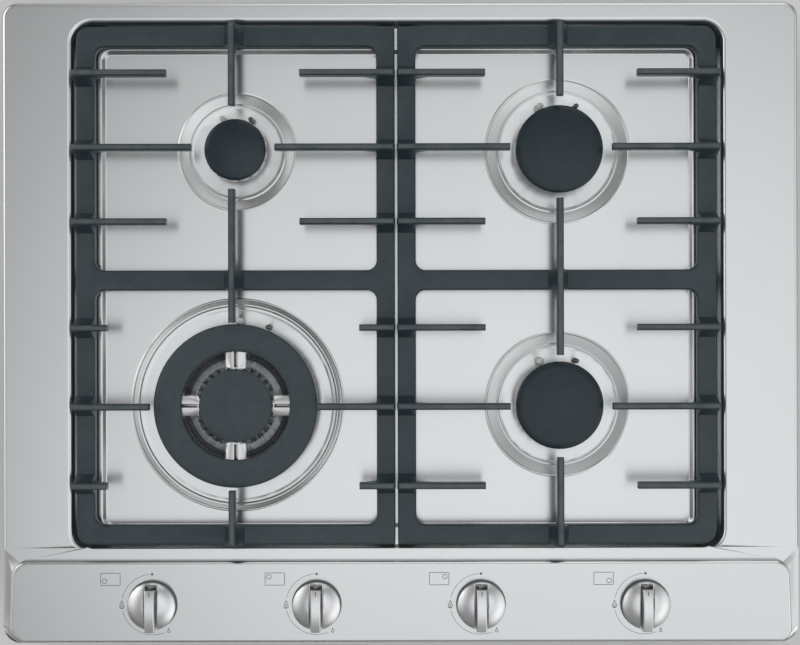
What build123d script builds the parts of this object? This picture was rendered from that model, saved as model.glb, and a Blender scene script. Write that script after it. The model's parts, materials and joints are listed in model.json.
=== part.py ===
"""Built-in gas cooktop with four burners, a pressed steel plate and two cast pan supports.

Millimetres, +X to the right, +Y to the rear, +Z up. The origin is at the middle of the plate in plan,
on the underside of the case. The worktop that carries the plate would lie at worktop_z.
"""

import os
from collections import namedtuple
from math import atan2, cos, degrees, radians, sin

from build123d import *

# --- the pressed steel plate ---
plate_width = 650.0
plate_depth = 523.0
sheet = 1.0
rear_corner_radius = 12.5
front_corner_radius = 15.0
worktop_z = 48.0
seal_height = 2.0
rim_height = 3.5
deck_rise = 4.0
return_width = 12.0
edge_roll = 4.0
front_band = 78.1
deck_front_y = front_band - plate_depth / 2

rim_z = worktop_z + seal_height
flange_top = rim_z + rim_height
deck_top = flange_top + deck_rise

# --- the control panel, a tilted island across the front ---
panel_valley = 10.6
panel_end_flange = 4.5
panel_taper = 4.0
panel_rear_y = deck_front_y - panel_valley
panel_front_half = plate_width / 2 - panel_end_flange
panel_rear_half = panel_front_half - panel_taper
panel_corner_radius = 12.0
panel_rear_top = flange_top + 6.5
panel_front_top = flange_top + 2.5
panel_edge_radius = 3.0

# --- the well, its ledge and the spill tray ---
side_deck = 58.5
rear_deck = 15.5
well_overlap = 3.6
well_half_width = plate_width / 2 - side_deck
well_rear_y = plate_depth / 2 - rear_deck
well_front_y = deck_front_y - well_overlap
well_radius = 18.0
well_wall = 5.0
press_radius = 1.5
lip_radius = 4.5
well_x = -2.2
ledge_z = 50.0
ledge_side = 24.0
ledge_rear = 22.5
ledge_front = 19.0
tray_half_width = well_half_width - ledge_side
tray_rear_y = well_rear_y - ledge_rear
tray_front_y = well_front_y + ledge_front
tray_radius = 8.0
tray_wall = 3.0
tray_z = 47.0
dish_drop = 2.5
ring_drop = 0.8
dish_z = tray_z - dish_drop
floor_z = dish_z - ring_drop

# --- outline of the pan supports, inside the well ---
support_gap = 2.2
support_side_gap = 6.7
support_rear_gap = 5.5
support_front_gap = 7.0
support_width = well_half_width - support_side_gap - support_gap / 2
support_rear_y = well_rear_y - support_rear_gap
support_x = well_x - 1.0
support_front_y = well_front_y + support_front_gap

# --- burners ---
rear_row_share = 0.2123
front_row_share = 0.2567
column_spread = 131.5 / 266.5
tray_depth = tray_rear_y - tray_front_y
column_x = column_spread * well_half_width
rear_row_y = tray_rear_y - rear_row_share * tray_depth
front_row_y = tray_front_y + front_row_share * tray_depth
seat_z = floor_z + 3.3
head_top_z = 60.0
skirt_gap = 1.5
hole_clearance = 0.5
socket_clearance = 0.3
neck_wall = 2.5
cup_flange = 7.0
cup_flange_height = 3.0
cup_bottom_z = 20.0
cup_floor_z = 34.0
jet_bore = 2.0
crown_wall = 5.0
crown_flare = 1.0
chamber_lean = 1.0
port_depth = 3.2
port_width = 2.2
crown_rim_depth = 4.5
crown_skirt_depth = 9.6
chamber_floor = 3.0
cap_edge = 3.5
cap_bevel = 1.2
cap_rise = 2.4
cap_wall = 4.2
cap_skirt_depth = 3.0
cap_foot = 0.6
injector_flats = 8.0
injector_bore = 0.8
injector_height = 4.0
injector_tip_radius = 3.0
injector_tip_height = 3.5

# --- the large burner's double crown ---
ring_cap_inner = 44.0
ring_cap_overhang = 0.5
bridge_overlap = 2.0
centre_cap_radius = 29.6
centre_crown_radius = 33.2
bridge_width = 17.6
bridge_groove = 3.0
bridge_groove_depth = 3.5
channel_floor_z = 51.0
flange_ring_radius = 38.5
flange_ring_z = 54.5
bridge_bore = 3.0

# --- igniters and flame sensors ---
ceramic_radius = 2.9
small_ceramic_radius = 2.3
ceramic_top_z = 57.0
ceramic_bottom_z = 30.0
collar_width = 2.2
collar_height = 4.0
pin_radius = 0.8
pin_top_z = 60.5
sensor_radius = 2.0
sensor_top_z = 58.0
probe_clearance = 0.4
probe_tail = 4.0

# --- pan supports ---
outer_bar = 14.8
centre_bar = 14.8
rear_bar = 16.4
front_bar = 15.5
middle_bar = 16.2
middle_bar_shift = 2.05
middle_bar_y = (rear_row_y + front_row_y) / 2 - middle_bar_shift
foot_height = 3.0
bar_height = 8.0
bar_chamfer = 1.0
support_corner = 10.5
inner_corner = 3.0
window_radius = 8.0
finger_width = 5.2
finger_top_z = 80.0
finger_height = 9.5
finger_chamfer = 1.3
finger_root = 10.0
finger_nose = 3.6
finger_overhang = 0.4
saddle_width = 17.0
saddle_step = 1.5
saddle_step_share = 0.3
saddle_overlap = 3.0
finger_sink = 1.0
finger_rise = 3.0
finger_bevel = 2.0
finger_tip_drop = 1.5
finger_lead = 1.0
row_pitch_rear = 59.5
row_pitch_front = 63.3
foot_radius = 5.0
foot_peg_radius = 3.0
foot_peg_length = 4.0
foot_clearance = 0.05

# --- knobs and taps ---
knob_margin = 124.45
knob_shift = -1.6
knob_inset = 32.1
knob_pitch = (plate_width - 2 * knob_margin) / 3
knob_y = knob_inset - plate_depth / 2
knob_radius = 19.5
knob_lift = 4.0
knob_base = 3.0
knob_shoulder = 7.5
knob_dome = 10.5
knob_foot = 0.6
knob_side_drop = 1.0
knob_bulge_share = 0.72
knob_bulge_drop = 1.2
grip_width = 8.0
grip_top = 17.0
grip_crest_y = -3.0
grip_rear_y = 15.2
grip_rear = 13.5
grip_front = 14.5
grip_edge = 0.9
groove_width = 1.6
spindle_radius = 3.0
spindle_top = 13.0
running_clearance = 0.1
seal_disc_radius = 20.3
seal_disc_height = 0.8
panel_hole_radius = 6.0
push_travel = 3.0
rail_depth = 8.5
rail_thickness = 1.5
tap_half_width = 12.0
tap_front = 10.0
tap_rear = 14.0
tap_height = 28.0
tap_neck = 3.0
tap_corner = 2.0
tap_saddle_height = 6.0
tap_saddle_inset = 3.0
union_overlap = 4.0
rail_rear_reach = 12.0
spindle_hole_gap = 1.0
plunger_radius = 6.0
plunger_length = 18.7
end_clearance = 0.3
union_radius = 6.5
pipe_z = 27.0
pipe_radius = 4.0
pipe_bore = 3.0
pipe_bend = 20.0
pipe_start = 25.4
pipe_start_y = knob_y + pipe_start

# --- the case ---
case_side_gap = 4.5
case_setback = 20.0
case_half_width = well_half_width - case_side_gap
case_half_depth = plate_depth / 2 - case_setback
case_sheet = 0.8
case_radius = 4.0
case_flange = 12.0
notch_width = 62.0
notch_depth = 29.5
notch_x = case_half_width - notch_width
notch_y = case_half_depth - notch_depth
notch_drop = 4.5
stud_radius = 2.0
stud_length = 7.0
stud_clearance = 0.3
stud_nut_flats = 7.0
stud_nut_height = 2.8
base_hole_radius = 2.25
base_hole_side = 42.0
base_hole_end = 56.5
base_hole_x = case_half_width - base_hole_side
base_hole_y = case_half_depth - base_hole_end
clamp_y = case_half_depth / 2
clamp_width = 20.0
clamp_sheet = 1.5
clamp_reach = 40.0
clamp_z = 4.0
clamp_leg = 20.0
clamp_screw_radius = 2.0
clamp_screw_head = 4.0
clamp_head_height = 2.8
clamp_screw_top = 30.0
gland_inset = 46.0
gland_x = case_half_width - gland_inset
gland_z = 14.0
gland_radius = 7.0
gland_bore = 3.5
gland_inner = 4.0
gland_length = 18.0
gland_collar = 3.0
module_size = (64.0, 42.0, 22.0)
module_corner = 3.0
module_offset = 25.8
module_y = middle_bar_y + module_offset
terminal_pitch = 12.0
terminal_radius = 3.0
terminal_height = 5.0
stud_end_margin = 91.5
stud_pitch = case_half_depth - stud_end_margin
rear_stud_inset = 40.0
rear_stud_x = column_x - rear_stud_inset

# --- gas rail and inlet ---
manifold_radius = 7.0
manifold_bore = 5.5
manifold_z = 12.0
manifold_inset = 37.0
manifold_end = 3.0
manifold_left_x = manifold_inset - case_half_width
inlet_inset = 20.0
inlet_x = case_half_width - inlet_inset
inlet_bend = 16.0
inlet_thread_radius = 10.48
inlet_shank_radius = 10.2
inlet_thread_length = 16.0
nut_flats = 22.0
nut_extra = 1.0
nut_height = 6.0
strap_width = 14.0
strap_length = 24.0
strap_sheet = 1.5

panel_tilt = degrees(atan2(panel_rear_top - panel_front_top, panel_rear_y + plate_depth / 2))
support_floor_z = ledge_z + foot_height
frame_top_z = support_floor_z + bar_height
finger_floor_z = finger_top_z - finger_height
case_top_z = ledge_z - sheet
tap_top = -rail_depth - rail_thickness
tap_bottom = tap_top - tap_height
plunger_top = tap_top - tap_neck - end_clearance

Burner = namedtuple(
    "Burner",
    "name x y dish ring cap crown neck ports tip stub probe left_angle right_angle ceramic tap",
)

# dish: outer and inner radius of the sloping ring, ring: radius of the step inside it,
# tip: radius kept free by the long fingers, stub: the same for the short fingers,
# probe: radius at which igniter and sensor stand, tap: number of the tap that feeds it
burners = [
    Burner("rear_left", well_x - column_x, rear_row_y, (47.6, 39.4), 36.0, 24.8, 25.4, 12.0, 18,
           33.5, 53.5, 28.2, 22.6, 25.7, small_ceramic_radius, 1),
    Burner("rear_right", well_x + column_x, rear_row_y, (58.7, 50.0), 46.5, 35.5, 34.3, 20.0, 28,
           41.0, 61.0, 38.6, 23.0, 22.0, ceramic_radius, 2),
    Burner("front_right", well_x + column_x, front_row_y, (58.7, 50.0), 46.5, 35.5, 34.3, 20.0, 28,
           41.0, 61.0, 38.6, 23.0, 22.0, ceramic_radius, 3),
    Burner("front_left", well_x - column_x, front_row_y, (86.4, 80.5), 77.0, 66.4, 64.3, 36.0, 56,
           67.3, 101.0, 68.9, -2.0, 22.0, ceramic_radius, 0),
]
big = burners[-1]


def save(part, name):
    """Label a finished piece and write it as one STEP file."""
    part.label = name
    export_step(part, f"parts/{name}.step")


def panel_z(y):
    """Height of the control panel's top at a place y."""
    return panel_rear_top - (panel_rear_y - y) * sin(radians(panel_tilt)) / cos(radians(panel_tilt))


def knob_x(number):
    """Place of a knob along the panel, counted from the left."""
    return knob_shift + (number - 1.5) * knob_pitch


def tap_plane(number):
    """Plane on the panel under a knob, with its normal along the tap's axis."""
    normal = (0, -sin(radians(panel_tilt)), cos(radians(panel_tilt)))
    return Plane(origin=(knob_x(number), knob_y, panel_z(knob_y)), x_dir=(1, 0, 0), z_dir=normal)


def probe_place(burner, angle):
    """Point beside a burner, at an angle from straight rear, positive to the right."""
    return (burner.x + burner.probe * sin(radians(angle)), burner.y + burner.probe * cos(radians(angle)))


def igniter_place(burner):
    return probe_place(burner, -burner.left_angle)


def sensor_place(burner):
    return probe_place(burner, burner.right_angle)


# ------------------------------------------------------------------ the plate


def plate_form(inset, floor):
    """Solid below the plate's skin, drawn in by inset on all sides and on top."""
    width = plate_width - 2 * inset
    depth = plate_depth - 2 * inset
    deck_depth = plate_depth / 2 - deck_front_y - 2 * inset
    with BuildPart() as island:
        front = -plate_depth / 2 + inset
        rear = panel_rear_y - inset
        with BuildSketch(Plane.XY.offset(floor)) as plan:
            with BuildLine():
                Polyline(
                    (-panel_rear_half + inset, rear),
                    (panel_rear_half - inset, rear),
                    (panel_front_half - inset, front),
                    (-panel_front_half + inset, front),
                    close=True,
                )
            make_face()
            fillet(plan.vertices(), panel_corner_radius - inset)
        extrude(amount=panel_rear_top - floor)
        with BuildSketch(Plane.YZ):
            with BuildLine():
                Polyline(
                    (panel_rear_y, floor),
                    (panel_rear_y, panel_rear_top - inset),
                    (-plate_depth / 2, panel_front_top - inset),
                    (-plate_depth / 2, floor),
                    close=True,
                )
            make_face()
        extrude(amount=plate_width, both=True, mode=Mode.INTERSECT)
        top = island.faces().filter_by(lambda face: face.normal_at().Z > 0.9)
        fillet(top.edges(), panel_edge_radius - inset)
    with BuildPart() as form:
        with BuildSketch(Plane.XY.offset(floor)) as outline:
            Rectangle(width, depth)
            fillet(outline.vertices().group_by(Axis.Y)[-1], rear_corner_radius - inset)
            fillet(outline.vertices().group_by(Axis.Y)[0], front_corner_radius - inset)
        extrude(amount=flange_top - inset - floor)
        with BuildSketch(Plane.XY.offset(floor)) as deck:
            with Locations((0, plate_depth / 2 - inset)):
                Rectangle(width, deck_depth, align=(Align.CENTER, Align.MAX))
            fillet(deck.vertices().group_by(Axis.Y)[-1], rear_corner_radius - inset)
        extrude(amount=deck_top - inset - floor)
        rim = form.faces().sort_by(Axis.Z)[-1].edges()
        front_edge = rim.sort_by(Axis.Y)[0]
        fillet(rim - ShapeList([front_edge]), edge_roll - inset)
        add(island.part)
    return form.part


def sunk_block(top, bottom, sides, radius, wall, grow):
    """Rounded block between two levels whose walls lean in by wall from top to bottom."""
    half_width, rear, front = sides
    lean = degrees(atan2(wall, top - bottom))
    with BuildPart() as block:
        with BuildSketch(Plane.XY.offset(top)):
            with Locations((well_x, (rear + front) / 2)):
                RectangleRounded(2 * (half_width + grow), rear - front + 2 * grow, radius + grow)
        extrude(amount=bottom - top - grow, taper=lean)
        fillet(block.faces().sort_by(Axis.Z)[0].edges(), press_radius + grow)
    return block.part


def dish(burner, grow):
    """Round dish round a burner: a sloping ring, then a small step down to its floor."""
    outer, inner = burner.dish
    with BuildPart() as bowl:
        with BuildSketch(Plane.XZ.offset(-burner.y)) as profile:
            with BuildLine():
                Polyline(
                    (burner.x, tray_z),
                    (burner.x + outer + grow, tray_z),
                    (burner.x + inner + grow, dish_z - grow),
                    (burner.x + burner.ring + ring_drop + grow, dish_z - grow),
                    (burner.x + burner.ring + grow, floor_z - grow),
                    (burner.x, floor_z - grow),
                    close=True,
                )
            make_face()
            foot = profile.vertices().filter_by_position(Axis.Y, dish_z - grow, dish_z - grow)
            fillet(foot.sort_by(Axis.X)[-1], press_radius + grow)
        revolve(axis=Axis((burner.x, burner.y, 0), (0, 0, 1)))
    return bowl.part


well_sides = (well_half_width, well_rear_y, well_front_y)
tray_sides = (tray_half_width, tray_rear_y, tray_front_y)
stud_side_x = case_half_width - case_flange / 2
stud_rear_y = case_half_depth - case_flange / 2
stud_places = [(sign * stud_side_x, y) for sign in (-1, 1) for y in (-stud_pitch, 0, stud_pitch)]
stud_places += [(x, stud_rear_y) for x in (-rear_stud_x, rear_stud_x)]


def rim_edges(plate, level, half_width):
    """Edges at a level, inside a half width, where a pressed wall drops away."""
    edges = plate.edges().filter_by_position(Axis.Z, level, level)
    reach = half_width + sheet / 2
    edges = edges.filter_by_position(Axis.X, well_x - reach, well_x + reach)
    return edges.filter_by_position(Axis.Y, well_front_y - sheet / 2, well_rear_y + sheet / 2)


skin = plate_form(0, rim_z)
hollow = plate_form(sheet, rim_z - sheet)
trim = plate_form(0, 0)
with BuildPart() as pressing:
    add(sunk_block(deck_top, ledge_z, well_sides, well_radius, well_wall, sheet))
    add(sunk_block(ledge_z, tray_z, tray_sides, tray_radius, tray_wall, sheet))
    for burner in burners:
        add(dish(burner, sheet))
    add(trim, mode=Mode.INTERSECT)

with BuildPart() as top_plate:
    add(skin)
    add(hollow, mode=Mode.SUBTRACT)
    with BuildSketch(Plane.XY.offset(rim_z)):
        RectangleRounded(plate_width - sheet, plate_depth - sheet, rear_corner_radius)
        RectangleRounded(
            plate_width - 2 * return_width, plate_depth - 2 * return_width, rear_corner_radius / 2,
            mode=Mode.SUBTRACT,
        )
    extrude(amount=sheet)
    add(pressing.part)
    add(sunk_block(deck_top, ledge_z, well_sides, well_radius, well_wall, 0), mode=Mode.SUBTRACT)
    add(sunk_block(ledge_z, tray_z, tray_sides, tray_radius, tray_wall, 0), mode=Mode.SUBTRACT)
    for burner in burners:
        add(dish(burner, 0), mode=Mode.SUBTRACT)
    for level in (tray_z, ledge_z):
        fillet(rim_edges(top_plate, level, tray_half_width), press_radius)
    fillet(
        rim_edges(top_plate, deck_top - sheet, well_half_width + sheet), lip_radius - sheet
    )
    fillet(rim_edges(top_plate, deck_top, well_half_width), lip_radius)
    fillet(rim_edges(top_plate, flange_top, well_half_width), press_radius)
    with BuildSketch(Plane.XY.offset(floor_z - 2 * sheet)):
        for burner in burners:
            with Locations((burner.x, burner.y)):
                Circle(burner.neck + hole_clearance)
            with Locations(igniter_place(burner)):
                Circle(burner.ceramic + probe_clearance)
            with Locations(sensor_place(burner)):
                Circle(sensor_radius + probe_clearance)
    extrude(amount=4 * sheet, mode=Mode.SUBTRACT)
    for number in range(4):
        with BuildSketch(tap_plane(number).offset(-2 * sheet)):
            Circle(panel_hole_radius)
        extrude(amount=4 * sheet, mode=Mode.SUBTRACT)
    with BuildSketch(Plane.XY.offset(case_top_z + sheet / 2)):
        with Locations(stud_places):
            Circle(stud_radius)
    extrude(amount=-stud_length)

with BuildPart() as rim_seal:
    with BuildSketch(Plane.XY.offset(worktop_z)):
        RectangleRounded(
            plate_width - 4 * sheet, plate_depth - 4 * sheet, rear_corner_radius - sheet
        )
        RectangleRounded(
            plate_width - 2 * return_width, plate_depth - 2 * return_width, rear_corner_radius / 2,
            mode=Mode.SUBTRACT,
        )
    extrude(amount=seal_height)

# ------------------------------------------------------------------ the case


def case_plan(inset):
    """Points of the case in plan, with a notch at the rear right corner for the connections."""
    return [
        (-case_half_width + inset, -case_half_depth + inset),
        (case_half_width - inset, -case_half_depth + inset),
        (case_half_width - inset, notch_y - inset),
        (notch_x - inset, notch_y - inset),
        (notch_x - inset, case_half_depth - inset),
        (-case_half_width + inset, case_half_depth - inset),
    ]


def hex_face(flats, bore):
    """Hexagonal nut outline with its bore and two flats level."""
    RegularPolygon(flats / 2, 6, major_radius=False)
    Circle(bore, mode=Mode.SUBTRACT)


with BuildPart() as base_pan:
    with BuildSketch():
        with BuildLine():
            Polyline(*case_plan(0), close=True)
        make_face()
    extrude(amount=case_top_z)
    fillet(base_pan.edges().filter_by(Axis.Z), case_radius)
    with BuildSketch(Plane.XY.offset(case_sheet)):
        with BuildLine():
            Polyline(*case_plan(case_sheet), close=True)
        make_face()
    extrude(amount=case_top_z - 2 * case_sheet, mode=Mode.SUBTRACT)
    with BuildSketch(Plane.XY.offset(case_top_z - case_sheet)):
        with Locations((0, -case_half_depth + case_sheet)):
            Rectangle(
                2 * (case_half_width - case_flange),
                2 * case_half_depth - case_flange - case_sheet,
                align=(Align.CENTER, Align.MIN),
            )
            Rectangle(
                2 * (case_half_width - case_sheet),
                deck_front_y + case_half_depth,
                align=(Align.CENTER, Align.MIN),
            )
    extrude(amount=case_sheet, mode=Mode.SUBTRACT)
    with BuildSketch(Plane.XY.offset(case_top_z - notch_drop)):
        with Locations((notch_x - 2 * case_flange, notch_y - 2 * case_flange)):
            Rectangle(4 * case_flange + case_half_width - notch_x, 5 * case_flange, align=Align.MIN)
    extrude(amount=notch_drop, mode=Mode.SUBTRACT)
    with BuildSketch(Plane.XY.offset(case_top_z - case_sheet)):
        with Locations(stud_places):
            Circle(stud_radius + stud_clearance)
    extrude(amount=case_sheet, mode=Mode.SUBTRACT)
    with BuildSketch():
        with GridLocations(2 * base_hole_x, 2 * base_hole_y, 2, 2):
            Circle(base_hole_radius)
    extrude(amount=case_sheet, mode=Mode.SUBTRACT)
    with BuildSketch(Plane.XZ.offset(-notch_y)):
        with Locations((inlet_x, manifold_z)):
            Circle(inlet_shank_radius + probe_clearance)
        with Locations((gland_x, gland_z)):
            Circle(gland_radius + probe_clearance)
    extrude(amount=2 * case_sheet, both=True, mode=Mode.SUBTRACT)

with BuildPart() as case_nuts:
    with BuildSketch(Plane.XY.offset(case_top_z - case_sheet)):
        with Locations(stud_places):
            hex_face(stud_nut_flats, stud_radius + running_clearance / 2)
    extrude(amount=-stud_nut_height)

clamp_places = [(sign, y) for sign in (-1, 1) for y in (-clamp_y, clamp_y)]
clamp_screw_x = case_half_width + clamp_reach - clamp_width / 2

with BuildPart() as fixing_clamps:
    for sign, y in clamp_places:
        with BuildSketch(Plane.XZ.offset(-y)):
            with BuildLine():
                Polyline(
                    (sign * case_half_width, clamp_z),
                    (sign * (case_half_width + clamp_reach), clamp_z),
                    (sign * (case_half_width + clamp_reach), clamp_z + clamp_sheet),
                    (sign * (case_half_width + clamp_sheet), clamp_z + clamp_sheet),
                    (sign * (case_half_width + clamp_sheet), clamp_z + clamp_leg),
                    (sign * case_half_width, clamp_z + clamp_leg),
                    close=True,
                )
            make_face()
        extrude(amount=clamp_width / 2, both=True)
        with BuildSketch(Plane.XY.offset(clamp_z)):
            with Locations((sign * clamp_screw_x, y)):
                Circle(clamp_screw_radius + running_clearance)
        extrude(amount=clamp_sheet, mode=Mode.SUBTRACT)

with BuildPart() as clamp_screws:
    for sign, y in clamp_places:
        with BuildSketch(Plane.XY.offset(clamp_z)):
            with Locations((sign * clamp_screw_x, y)):
                Circle(clamp_screw_head)
        extrude(amount=-clamp_head_height)
        with BuildSketch(Plane.XY.offset(clamp_z)):
            with Locations((sign * clamp_screw_x, y)):
                Circle(clamp_screw_radius)
        extrude(amount=clamp_screw_top - clamp_z)

with BuildPart() as ignition_module:
    with Locations((0, module_y, case_sheet)):
        Box(*module_size, align=(Align.CENTER, Align.CENTER, Align.MIN))
    fillet(ignition_module.edges().filter_by(Axis.Z), module_corner)
    with BuildSketch(Plane.XY.offset(case_sheet + module_size[2])):
        with Locations((0, module_y)):
            with GridLocations(terminal_pitch, 0, len(burners), 1):
                Circle(terminal_radius)
    extrude(amount=terminal_height)

with BuildPart() as cable_gland:
    gland_plane = Plane.XZ.offset(-notch_y)
    with BuildSketch(gland_plane.offset(case_sheet + gland_inner)):
        with Locations((gland_x, gland_z)):
            Circle(gland_radius)
            Circle(gland_bore, mode=Mode.SUBTRACT)
    extrude(amount=-(case_sheet + gland_length - gland_inner))
    with BuildSketch(gland_plane):
        with Locations((gland_x, gland_z)):
            Circle(gland_radius + gland_collar)
            Circle(gland_bore, mode=Mode.SUBTRACT)
    extrude(amount=-gland_collar)

# ------------------------------------------------------------------ gas rail, inlet and pipes

manifold_y = knob_y - tap_bottom * sin(radians(panel_tilt))

with BuildPart() as gas_manifold:
    with BuildSketch(Plane.YZ.offset(manifold_left_x)):
        with Locations((manifold_y, manifold_z)):
            Circle(manifold_radius)
    extrude(amount=inlet_x - 2 * inlet_bend - manifold_left_x)
    with BuildSketch(Plane.YZ.offset(manifold_left_x + manifold_end)):
        with Locations((manifold_y, manifold_z)):
            Circle(manifold_bore)
    extrude(amount=inlet_x - manifold_left_x, mode=Mode.SUBTRACT)

with BuildPart() as inlet_pipe:
    with BuildLine() as inlet_path:
        FilletPolyline(
            (inlet_x - 2 * inlet_bend, manifold_y, manifold_z),
            (inlet_x, manifold_y, manifold_z),
            (inlet_x, notch_y - case_sheet - nut_height, manifold_z),
            radius=inlet_bend,
        )
    with BuildSketch(Plane.YZ.offset(inlet_x - 2 * inlet_bend)):
        with Locations((manifold_y, manifold_z)):
            Circle(manifold_radius)
            Circle(manifold_bore, mode=Mode.SUBTRACT)
    sweep(path=inlet_path.wires()[0])

with BuildPart() as inlet_fitting:
    fitting_plane = Plane.XZ.offset(-(notch_y - case_sheet))
    with BuildSketch(fitting_plane):
        with Locations((inlet_x, manifold_z)):
            hex_face(nut_flats, manifold_bore)
    extrude(amount=nut_height)
    with BuildSketch(fitting_plane):
        with Locations((inlet_x, manifold_z)):
            Circle(inlet_shank_radius)
            Circle(manifold_bore, mode=Mode.SUBTRACT)
    extrude(amount=-case_sheet - nut_height)
    with BuildSketch(Plane.XZ.offset(-(notch_y + nut_height))):
        with Locations((inlet_x, manifold_z)):
            Circle(inlet_thread_radius)
            Circle(manifold_bore, mode=Mode.SUBTRACT)
    extrude(amount=-inlet_thread_length)

with BuildPart() as inlet_nut:
    with BuildSketch(Plane.XZ.offset(-notch_y)):
        with Locations((inlet_x, manifold_z)):
            hex_face(nut_flats + nut_extra, inlet_shank_radius + running_clearance / 2)
    extrude(amount=-nut_height)

with BuildPart() as manifold_straps:
    for x in (-knob_pitch, knob_pitch):
        with BuildSketch(Plane.YZ.offset(x - strap_width / 2)):
            with Locations((manifold_y, case_sheet)):
                Rectangle(strap_length, strap_sheet, align=(Align.CENTER, Align.MIN))
                Rectangle(
                    2 * (manifold_radius + strap_sheet), manifold_z - case_sheet,
                    align=(Align.CENTER, Align.MIN),
                )
            with Locations((manifold_y, manifold_z)):
                Circle(manifold_radius + strap_sheet)
                Circle(manifold_radius + running_clearance / 2, mode=Mode.SUBTRACT)
        extrude(amount=strap_width)

for burner in burners:
    side = 1 if burner.x < knob_x(burner.tap) else -1
    end_x = burner.x + side * (burner.neck + cup_flange)
    with BuildPart() as feed_pipe:
        with BuildLine() as route:
            FilletPolyline(
                (knob_x(burner.tap), pipe_start_y, pipe_z),
                (knob_x(burner.tap), burner.y, pipe_z),
                (end_x, burner.y, pipe_z),
                radius=pipe_bend,
            )
        with BuildSketch(Plane.XZ.offset(-pipe_start_y)):
            with Locations((knob_x(burner.tap), pipe_z)):
                Circle(pipe_radius)
                Circle(pipe_bore, mode=Mode.SUBTRACT)
        sweep(path=route.wires()[0])
    save(feed_pipe.part, f"feed_pipe_{burner.name}")

# ------------------------------------------------------------------ burners


def turned(burner, points):
    """Solid turned round a burner's axis from a profile given as radius and height."""
    with BuildPart() as ring:
        with BuildSketch(Plane.XZ.offset(-burner.y)):
            with BuildLine():
                Polyline(*[(burner.x + radius, height) for radius, height in points], close=True)
            make_face()
        revolve(axis=Axis((burner.x, burner.y, 0), (0, 0, 1)))
    return ring.part


def burner_cup(burner):
    """Lower body under the plate: a flange, a neck through the plate and a side inlet."""
    side = 1 if burner.x < knob_x(burner.tap) else -1
    neck = burner.neck
    under = floor_z - sheet
    with BuildPart() as cup:
        add(turned(burner, [
            (0, cup_bottom_z),
            (neck, cup_bottom_z),
            (neck, under - cup_flange_height),
            (neck + cup_flange, under - cup_flange_height),
            (neck + cup_flange, under),
            (neck, under),
            (neck, seat_z),
            (neck - neck_wall, seat_z),
            (neck - neck_wall, cup_floor_z),
            (0, cup_floor_z),
        ]))
        with BuildSketch(Plane.YZ.offset(burner.x)):
            with Locations((burner.y, pipe_z)):
                Circle(union_radius)
        extrude(amount=side * (neck + cup_flange))
        with BuildSketch(Plane.YZ.offset(burner.x - side * pipe_bore)):
            with Locations((burner.y, pipe_z)):
                Circle(pipe_bore)
        extrude(amount=side * (pipe_bore + neck + cup_flange), mode=Mode.SUBTRACT)
        with BuildSketch(Plane.XY.offset(pipe_z)):
            with Locations((burner.x, burner.y)):
                Circle(jet_bore)
        extrude(amount=cup_floor_z - pipe_z, mode=Mode.SUBTRACT)
        with BuildSketch(Plane.XY.offset(under - cup_flange_height)):
            with Locations(igniter_place(burner), sensor_place(burner)):
                Circle(burner.ceramic + collar_width + probe_clearance)
        extrude(amount=cup_flange_height, mode=Mode.SUBTRACT)
    return cup.part


def crown_side(outer, skirt_z=floor_z + skirt_gap):
    """Outer side of a crown: a drawn-in skirt that flares out to the rim with the ports."""
    return [
        (outer - crown_wall + crown_flare, skirt_z),
        (outer - crown_wall + crown_flare, head_top_z - crown_skirt_depth),
        (outer, head_top_z - crown_rim_depth),
        (outer, head_top_z),
    ]


def port_slots(burner, outer, count, width):
    """Radial bars, as deep as the ports, to be cut through the top of a crown's rim."""
    with BuildPart() as slots:
        with BuildSketch(Plane.XY.offset(head_top_z - port_depth)):
            with Locations((burner.x, burner.y)):
                with PolarLocations(outer - crown_wall / 2, count):
                    Rectangle(1.6 * crown_wall, width)
        extrude(amount=port_depth)
    return slots.part


def burner_head(burner):
    """Single-crown head: a chamber that sits on the cup's neck, with ports round its rim."""
    neck = burner.neck
    with BuildPart() as head:
        add(turned(burner, [
            (neck + socket_clearance, floor_z + skirt_gap),
            *crown_side(burner.crown),
            (burner.crown - crown_wall, head_top_z),
            (burner.crown - crown_wall - chamber_lean, seat_z + chamber_floor),
            (neck - neck_wall, seat_z + chamber_floor),
            (neck - neck_wall, seat_z),
            (neck + socket_clearance, seat_z),
        ]))
        add(port_slots(burner, burner.crown, burner.ports, port_width), mode=Mode.SUBTRACT)
    return head.part


def cap_skirt_radius(burner):
    """Radius of the ring under a cap that keeps it centred in the crown."""
    return burner.crown - crown_wall - chamber_lean - socket_clearance


def dome_drop(radius, span, rise):
    """How far a round dome over a span has dropped below its top at a radius."""
    sphere = (span ** 2 + rise ** 2) / (2 * rise)
    return sphere - (sphere ** 2 - radius ** 2) ** 0.5


def domed_cap(burner, radius, skirt, bottom):
    """Round cap with a low dome and a locating ring below."""
    span = radius - cap_bevel
    middle = span / 2
    with BuildPart() as cap:
        with BuildSketch(Plane.XZ.offset(-burner.y)):
            with BuildLine():
                top = bottom + cap_edge + cap_rise
                Polyline(
                    (burner.x, top),
                    (burner.x, bottom + cap_edge + cap_rise - cap_wall),
                    (burner.x + skirt - neck_wall, bottom + cap_edge + cap_rise - cap_wall),
                    (burner.x + skirt - neck_wall, bottom - cap_skirt_depth),
                    (burner.x + skirt, bottom - cap_skirt_depth),
                    (burner.x + skirt, bottom),
                    (burner.x + radius - cap_foot, bottom),
                    (burner.x + radius, bottom + cap_foot),
                    (burner.x + radius, bottom + cap_edge - cap_bevel),
                    (burner.x + span, bottom + cap_edge),
                )
                ThreePointArc(
                    (burner.x + span, bottom + cap_edge),
                    (burner.x + middle, top - dome_drop(middle, span, cap_rise)),
                    (burner.x, top),
                )
            make_face()
        revolve(axis=Axis((burner.x, burner.y, 0), (0, 0, 1)))
    return cap.part


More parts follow.
